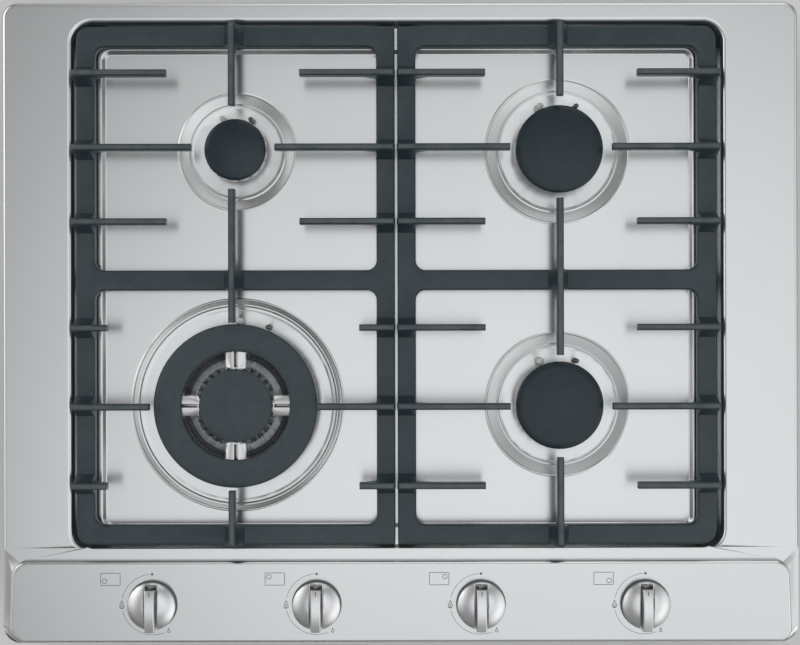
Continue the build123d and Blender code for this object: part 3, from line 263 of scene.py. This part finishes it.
class Nodes:
    """A node tree being put together. A value that goes into it is another node's output, a number, or the
    parts of a vector or colour."""

    def __init__(self, tree):
        self.tree = tree

    def node(self, kind, **values):
        node = self.tree.nodes.new(kind)
        for key, value in values.items():
            setattr(node, key, value)
        return node

    def link(self, source, target):
        self.tree.links.new(source, target)

    def feed(self, sockets, values):
        """Gives each socket its value, in order."""
        for socket, value in zip(sockets, values):
            if hasattr(value, "is_linked"):
                self.link(value, socket)
            elif socket.type == "RGBA":
                socket.default_value = (*value, 1.0)
            else:
                socket.default_value = value

    def math(self, operation, *values):
        """One arithmetic step on numbers."""
        step = self.node("ShaderNodeMath", operation=operation)
        self.feed(step.inputs, values)
        return step.outputs[0]

    def vector(self, operation, *values):
        """One arithmetic step on vectors, whose result is a number only for the length."""
        step = self.node("ShaderNodeVectorMath", operation=operation)
        self.feed(step.inputs, values)
        return step.outputs["Value" if operation == "LENGTH" else "Vector"]

    def axes(self, vector):
        """The numbers X, Y and Z of a vector."""
        split = self.node("ShaderNodeSeparateXYZ")
        self.link(vector, split.inputs[0])
        return split.outputs

    def mapped(self, vector, scale, shift=(0.0, 0.0, 0.0)):
        """Vector times a scale plus a shift, on each axis."""
        mapping = self.node("ShaderNodeMapping")
        sockets = [mapping.inputs[name] for name in ("Vector", "Scale", "Location")]
        self.feed(sockets, (vector, scale, shift))
        return mapping.outputs[0]

    def noise(self, vector, scale=1.0, detail=2.0):
        noise = self.node("ShaderNodeTexNoise")
        sockets = [noise.inputs[name] for name in ("Vector", "Scale", "Detail")]
        self.feed(sockets, (vector, scale, detail))
        return noise.outputs["Fac"]

    def ramp(self, value, *stops):
        """Colour that runs through stops of (place, colour) as a value goes from 0 to 1."""
        ramp = self.node("ShaderNodeValToRGB")
        elements = ramp.color_ramp.elements
        while len(elements) < len(stops):
            elements.new(0.5)
        for element, (place, colour) in zip(elements, stops):
            element.position = place
            element.color = (*colour, 1.0)
        self.link(value, ramp.inputs["Fac"])
        return ramp.outputs["Color"]

    def span(self, value, low, high, start=0.0, end=1.0, curve="LINEAR"):
        """Number that runs from low to high as a value goes from start to end."""
        span = self.node("ShaderNodeMapRange", interpolation_type=curve)
        sockets = [span.inputs[name] for name in ("Value", "To Min", "To Max", "From Min", "From Max")]
        self.feed(sockets, (value, low, high, start, end))
        return span.outputs["Result"]

    def mix(self, factor, first, second):
        """Colour that goes from the first to the second as a factor goes from 0 to 1."""
        mix = self.node("ShaderNodeMix", data_type="RGBA")
        self.feed((mix.inputs[0], mix.inputs[6], mix.inputs[7]), (factor, first, second))
        return mix.outputs[2]

    def shades(self, noise, dark, pale):
        """Colour between a dark and a pale one by a noise."""
        return self.ramp(noise, (NOISE_LOW, dark), (NOISE_HIGH, pale))

    def varied(self, noise, low, high):
        """Number between a low and a high one by a noise."""
        return self.span(noise, low, high, NOISE_LOW, NOISE_HIGH)


class Finish(Nodes):
    """A material being put together, with its surface and the place on the piece that it colours."""

    def __init__(self, name):
        self.material = bpy.data.materials.new(name)
        self.material.use_nodes = True
        super().__init__(self.material.node_tree)
        self.tree.nodes.clear()
        self.surface = self.node("ShaderNodeBsdfPrincipled")
        output = self.node("ShaderNodeOutputMaterial")
        self.link(self.surface.outputs[0], output.inputs["Surface"])
        self.place = self.node("ShaderNodeTexCoord").outputs["Object"]

    def set(self, **values):
        """Values that are the same all over, on the surface's own sockets."""
        for key, value in values.items():
            self.surface.inputs[key.replace("_", " ")].default_value = value

    def colour(self, value):
        self.link(value, self.surface.inputs["Base Color"])

    def rough(self, value):
        self.link(value, self.surface.inputs["Roughness"])

    def bump(self, value, depth, strength):
        """Fine relief by a value, as deep as a depth in millimetres."""
        bump = self.node("ShaderNodeBump")
        sockets = [bump.inputs[name] for name in ("Height", "Distance", "Strength")]
        self.feed(sockets, (value, depth * MM, strength))
        self.link(bump.outputs[0], self.surface.inputs["Normal"])


# ------------------------------------------------------------------ finishes


def brushed_steel():
    """Satin stainless sheet: grain runs left to right as long thin streaks, with faint broad clouding."""
    steel = Finish("brushed_steel")
    streaks = steel.noise(steel.mapped(steel.place, (9, 900, 9)))
    clouds = steel.noise(steel.place, scale=9.0)
    grey = steel.shades(streaks, (0.658, 0.665, 0.670), (0.662, 0.669, 0.674))
    steel.colour(steel.mix(steel.span(clouds, 0.0, 0.25, 0.35, 0.7), grey, (0.648, 0.657, 0.664)))
    steel.rough(steel.varied(clouds, 0.245, 0.255))
    normal = steel.node("ShaderNodeNewGeometry").outputs["Normal"]
    grain = steel.vector("CROSS_PRODUCT", normal, (1.0, 0.0, 0.0))
    steel.link(grain, steel.surface.inputs["Tangent"])
    steel.set(Metallic=1.0, Anisotropic=0.7)
    return steel.material


def cast_enamel():
    """Cast iron under matt enamel: blue-black, with a fine sanded skin and broad shallow unevenness. A
    painted highlight makes the fingers' tops paler, which it shows by height, from PAINTED_HIGHLIGHT_FROM
    up to PAINTED_HIGHLIGHT_TO."""
    cast = Finish("cast_enamel")
    grit = cast.noise(cast.place, scale=1400.0, detail=3.0)
    sway = cast.noise(cast.place, scale=90.0)
    plain_enamel = cast.shades(sway, (0.020, 0.035, 0.043), (0.027, 0.045, 0.054))
    painted_highlight = cast.shades(sway, (0.045, 0.062, 0.070), (0.085, 0.100, 0.106))
    height = cast.axes(cast.place)["Z"]
    # painted highlight on the fingers' tops, by height
    cast.colour(cast.mix(cast.span(height, 0.0, 1.0, PAINTED_HIGHLIGHT_FROM * MM, PAINTED_HIGHLIGHT_TO * MM), plain_enamel, painted_highlight))
    cast.rough(cast.varied(grit, 0.34, 0.48))
    cast.bump(cast.math("MULTIPLY_ADD", sway, 3.0, grit), 0.05, 0.6)
    cast.set(Specular_IOR_Level=0.5)
    return cast.material


def gloss_enamel():
    """Vitreous enamel on a burner cap: near black with faint pale specks and a slow orange-peel wave."""
    cap = Finish("gloss_enamel")
    wave = cap.noise(cap.place, scale=220.0, detail=1.0)
    specks = cap.noise(cap.place, scale=2600.0, detail=1.0)
    cap.colour(cap.ramp(specks, (0.62, (0.009, 0.021, 0.029)), (0.78, (0.022, 0.034, 0.042))))
    cap.rough(cap.varied(wave, 0.26, 0.36))
    cap.bump(wave, 0.04, 0.35)
    cap.set(Specular_IOR_Level=0.4)
    return cap.material


def matt_enamel():
    """Matt enamel of the large burner's caps, greyer and duller than the small caps."""
    cap = Finish("matt_enamel")
    wave = cap.noise(cap.place, scale=160.0)
    grit = cap.noise(cap.place, scale=2200.0)
    cap.colour(cap.shades(wave, (0.038, 0.053, 0.061), (0.047, 0.063, 0.071)))
    cap.rough(cap.varied(grit, 0.50, 0.62))
    cap.bump(grit, 0.03, 0.5)
    cap.set(Specular_IOR_Level=0.4)
    return cap.material


def casting(name):
    """Bare metal casting with a fine pitted skin, with its pits and its slow stain, each from 0 to 1."""
    alloy = Finish(name)
    pits = alloy.noise(alloy.place, scale=1800.0, detail=3.0)
    stain = alloy.noise(alloy.place, scale=60.0, detail=3.0)
    alloy.bump(pits, 0.03, 0.5)
    alloy.set(Metallic=1.0)
    return alloy, pits, stain


def cast_aluminium(name, tone, low, high):
    """Tumbled aluminium casting: pale grey of a tone, with a roughness between low and high."""
    alloy, pits, stain = casting(name)
    dark = tone * 0.88
    alloy.colour(alloy.shades(stain, (dark, dark, dark), (tone, tone, tone * 1.01)))
    alloy.rough(alloy.varied(pits, low, high))
    return alloy.material


def stained_and_shaded_aluminium():
    """Head of the large burner: pale casting, duller in the channel round the centre cap except on the four
    bridges, partly by a heat stain and partly by painted shade in that recess. Duller where the radius from
    the burner's axis lies between CHANNEL_INNER and CHANNEL_OUTER and both sideways distances are past
    BRIDGE_SIDE, and darker still there, as painted shade in the gaps beside the two caps, except within
    MID_CHANNEL_HALF_WIDTH of MID_CHANNEL_RADIUS."""
    alloy, _, stain = casting("stained_and_shaded_aluminium")
    pale = alloy.shades(stain, (0.60, 0.60, 0.60), (0.68, 0.68, 0.69))
    stain_and_shade = alloy.shades(stain, (0.30, 0.315, 0.325), (0.36, 0.375, 0.385))
    painted_gap_shade = alloy.shades(stain, (0.10, 0.105, 0.11), (0.14, 0.145, 0.15))
    apart = alloy.vector("SUBTRACT", alloy.place, (LARGE_BURNER[0] * MM, LARGE_BURNER[1] * MM, 0.0))
    level = alloy.vector("MULTIPLY", apart, (1.0, 1.0, 0.0))
    reach = alloy.vector("LENGTH", level)
    sideways = alloy.axes(alloy.vector("ABSOLUTE", level))
    least = alloy.math("MINIMUM", sideways["X"], sideways["Y"])
    beside = alloy.span(least, 0.0, 1.0, BRIDGE_SIDE[0] * MM, BRIDGE_SIDE[1] * MM)
    inside = alloy.span(reach, 0.0, 1.0, CHANNEL_INNER[0] * MM, CHANNEL_INNER[1] * MM)
    outside = alloy.span(reach, 1.0, 0.0, CHANNEL_OUTER[0] * MM, CHANNEL_OUTER[1] * MM)
    # heat stain and painted shade in the channel, with darker painted shade in the gaps beside the caps
    stain_and_shade_mask = alloy.math("MULTIPLY", alloy.math("MULTIPLY", inside, outside), beside)
    mid_channel = alloy.math("COMPARE", reach, MID_CHANNEL_RADIUS * MM, MID_CHANNEL_HALF_WIDTH * MM)
    alloy.colour(alloy.mix(stain_and_shade_mask, pale, alloy.mix(mid_channel, painted_gap_shade, stain_and_shade)))
    alloy.rough(alloy.span(stain_and_shade_mask, 0.34, 0.55))
    return alloy.material


def satin_knob():
    """Satin metal skin of a knob, with grain that runs from front to rear. It is dark in the places of
    KNOB_SHADE_AND_POINTER, by the distances across and along from the nearest knob's middle: painted shade
    in the grooves beside the grip and in the notch behind it, and the pointer's own dark mark."""
    knob = Finish("satin_knob")
    grain = knob.noise(knob.mapped(knob.place, (2400, 120, 2400)), detail=1.0)
    place = knob.axes(knob.place)
    across = knob.math("SUBTRACT", place["X"], (KNOB_SHIFT + KNOB_PITCH / 2) * MM)
    across = knob.math("WRAP", across, KNOB_PITCH / 2 * MM, -KNOB_PITCH / 2 * MM)
    across = knob.math("ABSOLUTE", across)
    along = knob.math("SUBTRACT", place["Y"], KNOB_Y * MM)
    # painted shade in the grooves and the notch, and the pointer's own dark mark
    dark = 0.0
    for side, half_width, middle, half_length in KNOB_SHADE_AND_POINTER:
        wide = knob.math("COMPARE", across, side * MM, half_width * MM)
        long = knob.math("COMPARE", along, middle * MM, half_length * MM)
        dark = knob.math("MAXIMUM", knob.math("MULTIPLY", wide, long), dark)
    pale = knob.shades(grain, (0.67, 0.675, 0.68), (0.70, 0.702, 0.708))
    knob.colour(knob.mix(dark, pale, (0.20, 0.205, 0.21)))
    knob.rough(knob.varied(grain, 0.28, 0.32))
    knob.set(Metallic=1.0)
    return knob.material


def plain_metal(name, colour, low, high):
    """Plated or drawn metal: faintly clouded colour, with a fine roughness between low and high."""
    metal = Finish(name)
    fine = metal.noise(metal.place, scale=900.0, detail=3.0)
    slow = metal.noise(metal.place, scale=40.0)
    metal.colour(metal.shades(slow, tuple(0.82 * part for part in colour), colour))
    metal.rough(metal.varied(fine, low, high))
    metal.set(Metallic=1.0)
    return metal.material


def zinc_sheet():
    """Hot-dipped zinc sheet with crystal flakes of slightly different grey."""
    zinc = Finish("zinc_sheet")
    cells = zinc.node("ShaderNodeTexVoronoi")
    zinc.feed((cells.inputs["Vector"], cells.inputs["Scale"]), (zinc.place, 110.0))
    flake = zinc.node("ShaderNodeSeparateColor")
    zinc.link(cells.outputs["Color"], flake.inputs[0])
    zinc.colour(zinc.ramp(flake.outputs[0], (0.0, (0.42, 0.43, 0.44)), (1.0, (0.60, 0.61, 0.62))))
    zinc.rough(zinc.span(flake.outputs[1], 0.30, 0.50))
    zinc.set(Metallic=1.0)
    return zinc.material


def moulded(name, colour, low, high, scale=1500.0):
    """Moulded plastic, rubber or ceramic: faintly clouded colour with a fine texture of a scale."""
    resin = Finish(name)
    grain = resin.noise(resin.place, scale=scale)
    slow = resin.noise(resin.place, scale=50.0)
    resin.colour(resin.shades(slow, tuple(0.88 * part for part in colour), colour))
    resin.rough(resin.varied(grain, low, high))
    resin.bump(grain, 0.03, 0.4)
    return resin.material


def screen_print():
    """Grey ink fired on the panel, a little thinner in places."""
    ink = Finish("screen_print")
    thin = ink.noise(ink.place, scale=700.0)
    ink.colour(ink.ramp(thin, (0.35, (0.13, 0.135, 0.14)), (0.65, (0.17, 0.175, 0.18))))
    ink.set(Roughness=0.6)
    return ink.material


def make_finishes():
    """One material for each finish that the record names, the large burner's head and the print's ink."""
    return {
        "plate_steel": brushed_steel(),
        "cast_iron": cast_enamel(),
        "cap_enamel": gloss_enamel(),
        "cap_enamel_matt": matt_enamel(),
        "head_aluminium": cast_aluminium("head_aluminium", 0.66, 0.28, 0.42),
        "large_head": stained_and_shaded_aluminium(),
        "cup_aluminium": cast_aluminium("cup_aluminium", 0.55, 0.4, 0.55),
        "tap_aluminium": cast_aluminium("tap_aluminium", 0.58, 0.38, 0.52),
        "pipe_aluminium": plain_metal("pipe_aluminium", (0.64, 0.65, 0.66), 0.25, 0.38),
        "case_steel": zinc_sheet(),
        "fastener_steel": plain_metal("fastener_steel", (0.55, 0.55, 0.53), 0.28, 0.42),
        "manifold_steel": plain_metal("manifold_steel", (0.50, 0.50, 0.50), 0.32, 0.46),
        "brass_fitting": plain_metal("brass_fitting", (0.72, 0.55, 0.26), 0.22, 0.36),
        "pin_steel": plain_metal("pin_steel", (0.78, 0.78, 0.77), 0.35, 0.45),
        "sensor_metal": plain_metal("sensor_metal", (0.12, 0.12, 0.12), 0.3, 0.45),
        "knob_metal": satin_knob(),
        "knob_seal": moulded("knob_seal", (0.16, 0.165, 0.17), 0.5, 0.65),
        "foot_rubber": moulded("foot_rubber", (0.03, 0.03, 0.032), 0.6, 0.75),
        "seal_foam": moulded("seal_foam", (0.10, 0.10, 0.105), 0.85, 0.95, 900.0),
        "white_ceramic": moulded("white_ceramic", (0.78, 0.77, 0.74), 0.22, 0.32),
        "module_plastic": moulded("module_plastic", (0.04, 0.04, 0.045), 0.4, 0.55),
        "gland_plastic": moulded("gland_plastic", (0.05, 0.05, 0.055), 0.4, 0.55),
        "print": screen_print(),
    }


# ------------------------------------------------------------------ finished copies of the nodes


def node_slots():
    """Finish of each node, by name, as the record gives it."""
    return {part["node"]: part["material_slot"] for part in frame["record"]["subparts"]}


def node_bodies():
    """Body of each node, by name."""
    groups = frame["record"]["behaviour"]["bodies"]
    return {node: body for body, nodes in groups.items() for node in nodes}


def crisp_angle(node):
    """Turn in degrees past which a node's edges stay crisp, or None for a node that hardly shows."""
    return OTHER_ANGLES.get(node, CRISP_ANGLE if node.startswith(SHOWN) else None)


def dress_nodes(finishes):
    """Smooth-shaded copies of the nodes that show, one for each, and plain finishes on the rest."""
    slots, bodies = node_slots(), node_bodies()
    for node, thing in frame["nodes"].items():
        if node.startswith("pan_support"):
            continue
        slot, angle = slots[node], crisp_angle(node)
        if angle is None:
            paint(thing, finishes[slot])
        else:
            piece = welded_copy(node, f"{node}_finish")
            soft_edges(piece, angle)
            paint(piece, finishes["large_head" if node == "burner_head_front_left" else slot])
            finished(piece, bodies[node], slot, node)


def cast_support(side, finishes):
    """Pan support as a casting: the node's skin with flat faces made whole and every edge rounded."""
    node = f"pan_support_{side}"
    piece = welded_copy(node, f"cast_support_{side}")
    flat_faces_whole(piece)
    rounded_edges(piece)
    paint(piece, finishes["cast_iron"])
    finished(piece, f"support_{side}", "cast_iron", node)


# ------------------------------------------------------------------ beads of the dishes


def bead_ring(x, y, outer, inner, middle, count=200, across=9):
    """Raised ring about a burner's axis: with u from -1 to 1 across it, radius = middle + half width u and
    height = level of the sheet there + (bead's height + sunk depth) (1 + cos pi u) / 2 - sunk depth."""
    u = np.linspace(-1, 1, across)
    radius = middle + BEAD_HALF_WIDTH * u
    level = np.interp(radius, (inner, outer), (DISH_TOP, TRAY_TOP))
    height = level + (BEAD_HEIGHT + BEAD_SUNK) * (1 + np.cos(pi * u)) / 2 - BEAD_SUNK
    turn = np.linspace(0, tau, count, endpoint=False)
    rings = np.stack((
        x + np.outer(radius, np.cos(turn)), y + np.outer(radius, np.sin(turn)),
        np.repeat(height[:, None], count, axis=1),
    ), -1)
    return rings.reshape(-1, 3), grid_faces(across, count)


def add_beads(finishes):
    """The pressed beads of the four dishes as one piece on the plate."""
    rings = [bead_ring(*dish, middle) for *dish, middles in DISHES for middle in middles]
    piece = piece_from("dish_beads", *joined(rings), finishes["plate_steel"])
    upward(piece)
    finished(piece, "cooktop", "plate_steel")


# ------------------------------------------------------------------ print on the panel


def on_panel(points):
    """Points given as across and up the panel from its middle at the knobs' row, lifted on to its face:
    x stays, y runs up the slope, z follows the slope and stands the print's height above it."""
    across, up = points[:, 0], points[:, 1]
    y = KNOB_Y + up * cos(PANEL_TILT) - PRINT_HEIGHT * sin(PANEL_TILT)
    z = PANEL_REAR_TOP + (KNOB_Y - PANEL_REAR_Y) * PANEL_SLOPE
    z = z + up * sin(PANEL_TILT) + PRINT_HEIGHT * cos(PANEL_TILT)
    return np.stack((across, y, z), -1)


def ribbon(line, width, closed=False):
    """Flat band along a line: each point moved half the width to both sides, square to the line there."""
    if closed:
        along = np.roll(line, -1, 0) - np.roll(line, 1, 0)
    else:
        along = np.gradient(line, axis=0)
    along = along / np.linalg.norm(along, axis=1, keepdims=True)
    side = np.stack((along[:, 1], -along[:, 0]), -1) * (width / 2)
    points = np.concatenate((line - side, line + side))
    return points, grid_faces(2, len(line), closed)


def arc_line(centre, radius, start, end, count=60):
    """Arc counted in degrees from straight up, positive to the left."""
    turn = np.radians(np.linspace(start, end, count))
    return np.stack((centre[0] - radius * np.sin(turn), centre[1] + radius * np.cos(turn)), -1)


def circle_line(centre, radius, count=40):
    """Closed circle: an arc that stops one step short of a full turn."""
    return arc_line(centre, radius, 0.0, 360.0 - 360.0 / count, count)


def box_line(wide, deep, count=11):
    """Closed rectangle round the origin: equal steps along each side from its corner towards the next."""
    corners = np.array([(-wide, deep), (wide, deep), (wide, -deep), (-wide, -deep)]) / 2
    sides = zip(corners, np.roll(corners, -1, 0))
    return np.concatenate([np.linspace(start, end, count, endpoint=False) for start, end in sides])


def flame_line(centre, size, count=40):
    """Closed drop of a size s, round below and sharp above: x = 0.26 s sin t (1 + cos t) / 1.3 and
    y = -0.5 s cos t."""
    turn = np.linspace(0, tau, count, endpoint=False)
    x = 0.26 * size * np.sin(turn) * (1 + np.cos(turn)) / 1.3
    y = -0.5 * size * np.cos(turn)
    return np.stack((centre[0] + x, centre[1] + y), -1)


def disc(centre, radius, count=28):
    """Filled circle as a band between two rings, the inner one a fiftieth of the radius."""
    turn = np.linspace(0, tau, count, endpoint=False)
    ring = np.stack((np.cos(turn), np.sin(turn)), -1)
    points = np.concatenate((centre + ring * radius * 0.02, centre + ring * radius))
    return points, grid_faces(2, count)


def knob_print(number, burner):
    """Marks round one knob: off dot, arc through a large flame to a small flame, and a plan of the burners
    with a ring at the knob's own."""
    x = KNOB_SHIFT + (number - 1.5) * KNOB_PITCH
    left = x - ARC_RADIUS
    small_place = arc_line((x, 0.0), ARC_RADIUS, SMALL_FLAME_TURN, SMALL_FLAME_TURN, 1)[0]
    plan = np.array((x + PLAN_PLACE[0], PLAN_PLACE[1]))
    parts = [
        disc((x, ARC_RADIUS), DOT_RADIUS),
        *(ribbon(arc_line((x, 0.0), ARC_RADIUS, *turns), ARC_LINE) for turns in ARC_TURNS),
        ribbon(flame_line((left, 0.0), LARGE_FLAME), LINE_WIDTH, True),
        ribbon(flame_line((left, -INNER_FLAME_DROP), INNER_FLAME), FLAME_LINE, True),
        ribbon(flame_line(small_place, SMALL_FLAME), LINE_WIDTH, True),
        ribbon(plan + box_line(PLAN_WIDTH, PLAN_DEPTH), LINE_WIDTH, True),
        ribbon(circle_line(plan + burner, PLAN_RING), LINE_WIDTH, True),
    ]
    return joined([(on_panel(flat), quads) for flat, quads in parts])


def add_print(finishes):
    """The print for the four knobs, each as one thin piece on the panel."""
    for number, burner in enumerate(PLAN_BURNERS):
        marks = knob_print(number, burner)
        piece = piece_from(f"panel_print_{number + 1}", *marks, finishes["print"])
        upward(piece)
        finished(piece, "cooktop", "plate_steel")


# ------------------------------------------------------------------ floor, light and camera


def add_floor():
    """Plain pale floor under the case."""
    floor = Finish("floor_paint")
    cloud = floor.noise(floor.place, scale=3.0)
    floor.colour(floor.shades(cloud, (0.74, 0.74, 0.74), (0.78, 0.78, 0.78)))
    floor.set(Roughness=0.7)
    low = cad_box[0][2] / MM
    sides = np.array([(-1, -1), (1, -1), (1, 1), (-1, 1)]) * FLOOR_REACH
    corners = np.column_stack((sides, np.full(len(sides), low)))
    piece_from("floor", corners, [np.array([(0, 1, 2, 3)])], floor.material)


def add_softbox(name, place, target, size, power):
    """Soft rectangular lamp that looks from a place to a target."""
    lamp = bpy.data.lights.new(name, "AREA")
    lamp.shape = "RECTANGLE"
    lamp.size, lamp.size_y = size
    lamp.energy = power
    box = bpy.data.objects.new(name, lamp)
    bpy.context.scene.collection.objects.link(box)
    away = np.subtract(place, target)
    length = float(np.linalg.norm(away))
    box.location = place
    box.rotation_euler = (float(np.arccos(away[2] / length)), 0.0, float(np.arctan2(away[0], -away[1])))


def tinted(levels, tint):
    """Stops of (place, colour) from pairs of a place and a light level: colour = tint times level."""
    return [(stop, tuple(part * level for part in tint)) for stop, level in levels]


def sky_light(room, direction):
    """Light from overhead, palest towards the front right: its stop is 1 less the distance of the level
    part of the direction from SKY_MIDDLE, with SKY_REACH as the unit on each axis."""
    scale = (1 / SKY_REACH[0], 1 / SKY_REACH[1], 0.0)
    shift = (-SKY_MIDDLE[0] / SKY_REACH[0], -SKY_MIDDLE[1] / SKY_REACH[1], 0.0)
    glow = room.node("ShaderNodeTexGradient", gradient_type="SPHERICAL")
    room.link(room.mapped(direction, scale, shift), glow.inputs[0])
    return room.ramp(glow.outputs["Fac"], *tinted(SKY_LEVELS, SKY_TINT))


def wall_light(room, direction, height):
    """Light from the sides: its stop is the direction's turn about the upright axis as a share of a full
    turn, and it dims towards the floor."""
    turn = room.node("ShaderNodeTexGradient", gradient_type="RADIAL")
    room.link(direction, turn.inputs[0])
    walls = room.ramp(turn.outputs["Fac"], *tinted(WALL_LEVELS, WALL_TINT))
    lift = room.span(height, DIMMEST, 1.0, DIM_FROM, DIM_TO, "SMOOTHSTEP")
    dim = room.node("ShaderNodeVectorMath", operation="SCALE")
    room.feed((dim.inputs[0], dim.inputs["Scale"]), (walls, lift))
    return dim.outputs[0]


def add_light():
    """Surroundings of a pale sky over lit walls, which the metal shows, with a plain pale grey where the
    camera sees them itself, and one soft lamp at the left."""
    world = bpy.data.worlds.new("surroundings")
    world.use_nodes = True
    room = Nodes(world.node_tree)
    direction = room.node("ShaderNodeTexCoord").outputs["Generated"]
    height = room.axes(direction)["Z"]
    rise = room.span(height, 0.0, 1.0, SKY_FROM, SKY_TO, "SMOOTHSTEP")
    light = room.mix(rise, wall_light(room, direction, height), sky_light(room, direction))
    camera_ray = room.node("ShaderNodeLightPath").outputs["Is Camera Ray"]
    room.link(room.mix(camera_ray, light, BACKDROP), room.tree.nodes["Background"].inputs["Color"])
    bpy.context.scene.world = world
    add_softbox("left", place=(-2.2, 1.2, 1.4), target=(0.0, 0.0, 0.05), size=(1.8, 1.4), power=9.0)


def add_camera():
    """Straight down from above a point right of the middle, with a small shift to frame the plate. Its lens
    makes VIEW_WIDTH of the deck fill the picture's width."""
    lens = bpy.data.cameras.new("camera")
    lens.sensor_width = SENSOR_WIDTH
    lens.lens = SENSOR_WIDTH * CAMERA_RISE / VIEW_WIDTH
    lens.shift_x, lens.shift_y = (pixels / PICTURE_WIDTH for pixels in PICTURE_SHIFT)
    camera = bpy.data.objects.new("camera", lens)
    bpy.context.scene.collection.objects.link(camera)
    camera.location = (*CAMERA_PLACE, DECK_TOP * MM + CAMERA_RISE)
    camera.rotation_euler = (0.0, 0.0, radians(CAMERA_TURN))
    bpy.context.scene.camera = camera


add_camera()
add_floor()
add_light()
finishes = make_finishes()
dress_nodes(finishes)
for side in ("left", "right"):
    cast_support(side, finishes)
add_beads(finishes)
add_print(finishes)

bpy.context.scene.view_settings.view_transform = "Standard"
